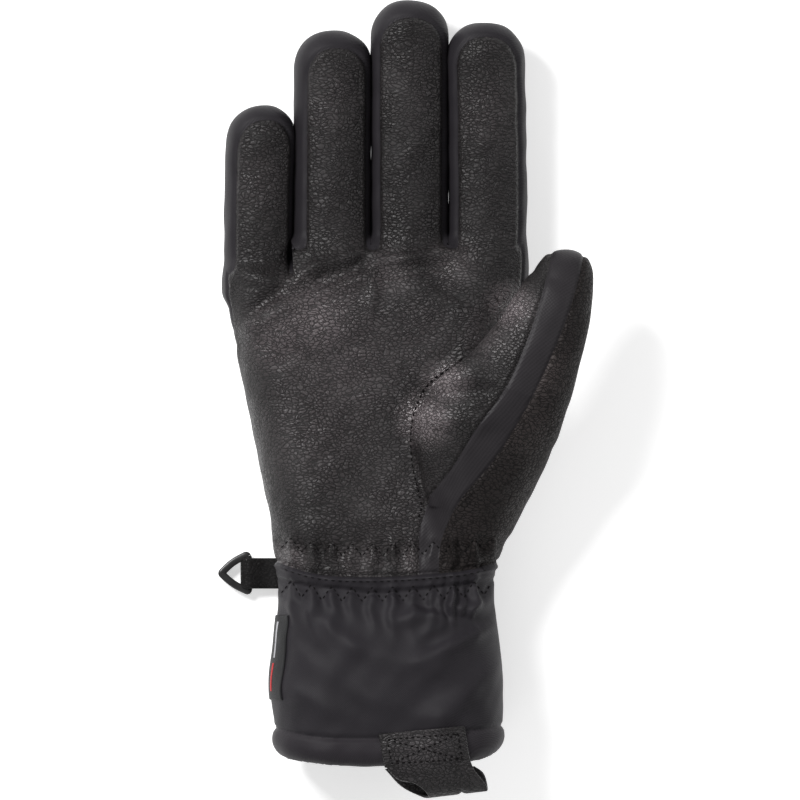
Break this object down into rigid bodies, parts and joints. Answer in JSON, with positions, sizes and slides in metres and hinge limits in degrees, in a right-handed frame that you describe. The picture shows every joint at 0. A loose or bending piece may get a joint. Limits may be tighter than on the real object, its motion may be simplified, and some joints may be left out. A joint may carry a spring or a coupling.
{
  "type": "insulated ski glove",
  "caption": "Right-hand insulated ski glove, leather palm and softshell back, with folding fingers, thumb, wrist and cuff, a wrist strap with a ring, and a pull loop.",
  "frame": {"origin": "on the flat of the back of the hand, under the middle of the palm", "axes": "+Y towards the fingertips, +X towards the thumb, +Z out of the palm"},
  "size_m": [0.1403, 0.2986, 0.0604],
  "materials": {
    "palm_leather": "fine-grained black goat leather with a soft sheen",
    "outer_leather": "smooth black leather with a faint brown cast",
    "softshell": "matte black woven softshell",
    "cuff_fabric": "matte black woven softshell",
    "wipe_strip": "brushed black microfibre twill",
    "membrane": "translucent white waterproof film",
    "wadding": "off-white synthetic wadding",
    "fleece": "black brushed fleece",
    "elastic": "black braided elastic tape",
    "binding": "black softshell folded over the hem",
    "strap": "black coated strap",
    "hook_loop": "black hook-and-loop tape",
    "ring_plastic": "black moulded acetal",
    "label": "black woven label with a plain light stripe",
    "pull_loop": "black leather"
  },
  "bodies": {
    "hand": {"palm_leather": "palm_leather", "thumb_ball_leather": "outer_leather", "palm_wipe_strip": "wipe_strip", "back_shell": "softshell", "wrist_front_shell": "cuff_fabric", "hand_membrane": "membrane", "hand_wadding": "wadding", "hand_fleece": "fleece", "upper_wrist_elastic": "elastic", "lower_wrist_elastic": "elastic", "wrist_loop_patch": "hook_loop", "strap_anchor": "strap"},
    "cuff": {"cuff_front_shell": "cuff_fabric", "cuff_back_shell": "cuff_fabric", "cuff_wadding": "wadding", "cuff_fleece": "fleece", "hem_binding": "binding", "side_label": "label", "pull_loop_tab": "pull_loop"},
    "pull_loop": {"pull_loop": "pull_loop"},
    "wrist_strap": {"wrist_strap": "strap", "strap_hook_patch": "hook_loop"},
    "strap_ring": {"strap_ring": "ring_plastic"},
    "index_proximal": {"index_proximal_leather": "palm_leather", "index_proximal_fabric": "softshell", "index_proximal_liner": "fleece"},
    "index_distal": {"index_distal_leather": "palm_leather", "index_distal_fabric": "softshell", "index_distal_liner": "fleece"},
    "middle_proximal": {"middle_proximal_leather": "palm_leather", "middle_proximal_fabric": "softshell", "middle_proximal_liner": "fleece"},
    "middle_distal": {"middle_distal_leather": "palm_leather", "middle_distal_fabric": "softshell", "middle_distal_liner": "fleece"},
    "ring_proximal": {"ring_proximal_leather": "palm_leather", "ring_proximal_fabric": "softshell", "ring_proximal_liner": "fleece"},
    "ring_distal": {"ring_distal_leather": "palm_leather", "ring_distal_fabric": "softshell", "ring_distal_liner": "fleece"},
    "little_proximal": {"little_proximal_leather": "palm_leather", "little_proximal_fabric": "softshell", "little_proximal_liner": "fleece"},
    "little_distal": {"little_distal_leather": "palm_leather", "little_distal_fabric": "softshell", "little_distal_liner": "fleece"},
    "thumb_root": {"thumb_root_front_leather": "palm_leather", "thumb_root_outer_leather": "outer_leather", "thumb_root_wipe_strip": "wipe_strip", "thumb_root_liner": "fleece"},
    "thumb_tip": {"thumb_tip_front_leather": "palm_leather", "thumb_tip_outer_leather": "outer_leather", "thumb_tip_wipe_strip": "wipe_strip", "thumb_tip_liner": "fleece"}
  },
  "joints": [
    {"name": "wrist_fold", "type": "hinge", "parent": "hand", "child": "cuff", "pos_m": [0, -0.079, 0.025], "axis": [1, 0, 0], "range_deg": [-25, 25]},
    {"name": "index_root_fold", "type": "hinge", "parent": "hand", "child": "index_proximal", "pos_m": [0.0389, 0.069, 0.02], "axis": [1, 0, 0], "range_deg": [0, 60]},
    {"name": "index_middle_fold", "type": "hinge", "parent": "index_proximal", "child": "index_distal", "pos_m": [0.0389, 0.103, 0.02153], "axis": [1, 0, 0], "range_deg": [0, 50]},
    {"name": "middle_root_fold", "type": "hinge", "parent": "hand", "child": "middle_proximal", "pos_m": [0.0094, 0.069, 0.01993], "axis": [1, 0, 0], "range_deg": [0, 60]},
    {"name": "middle_middle_fold", "type": "hinge", "parent": "middle_proximal", "child": "middle_distal", "pos_m": [0.0094, 0.107, 0.02145], "axis": [1, 0, 0], "range_deg": [0, 50]},
    {"name": "ring_root_fold", "type": "hinge", "parent": "hand", "child": "ring_proximal", "pos_m": [-0.0201, 0.0685, 0.02001], "axis": [1, 0, 0], "range_deg": [0, 60]},
    {"name": "ring_middle_fold", "type": "hinge", "parent": "ring_proximal", "child": "ring_distal", "pos_m": [-0.0201, 0.101, 0.02152], "axis": [1, 0, 0], "range_deg": [0, 50]},
    {"name": "little_root_fold", "type": "hinge", "parent": "hand", "child": "little_proximal", "pos_m": [-0.0479, 0.06, 0.02001], "axis": [1, 0, 0], "range_deg": [0, 60]},
    {"name": "little_middle_fold", "type": "hinge", "parent": "little_proximal", "child": "little_distal", "pos_m": [-0.0479, 0.084, 0.02157], "axis": [1, 0, 0], "range_deg": [0, 50]},
    {"name": "thumb_root_fold", "type": "hinge", "parent": "hand", "child": "thumb_root", "pos_m": [0.04796, 0.01653, 0.04889], "axis": [0.3918, -0.1583, 0.9063], "range_deg": [0, 30]},
    {"name": "thumb_middle_fold", "type": "hinge", "parent": "thumb_root", "child": "thumb_tip", "pos_m": [0.05714, 0.03655, 0.04638], "axis": [0.3918, -0.1583, 0.9063], "range_deg": [0, 30]},
    {"name": "strap_peel", "type": "hinge", "parent": "hand", "child": "wrist_strap", "pos_m": [0.024, -0.0651, 0.00355], "axis": [0, 1, 0], "range_deg": [-120, 0]},
    {"name": "ring_swivel", "type": "hinge", "parent": "wrist_strap", "child": "strap_ring", "pos_m": [-0.0514, -0.0651, 0.00355], "axis": [0, 1, 0], "range_deg": [-80, 80]},
    {"name": "pull_loop_flop", "type": "hinge", "parent": "cuff", "child": "pull_loop", "pos_m": [0.0175, -0.1407, 0.0455], "axis": [1, 0, 0], "range_deg": [-80, 80]}
  ],
  "couplings": [
    {"joint": "index_middle_fold", "follows": "index_root_fold", "ratio": 0.8},
    {"joint": "middle_middle_fold", "follows": "middle_root_fold", "ratio": 0.8},
    {"joint": "ring_middle_fold", "follows": "ring_root_fold", "ratio": 0.8},
    {"joint": "little_middle_fold", "follows": "little_root_fold", "ratio": 0.8},
    {"joint": "thumb_middle_fold", "follows": "thumb_root_fold", "ratio": 0.9}
  ]
}
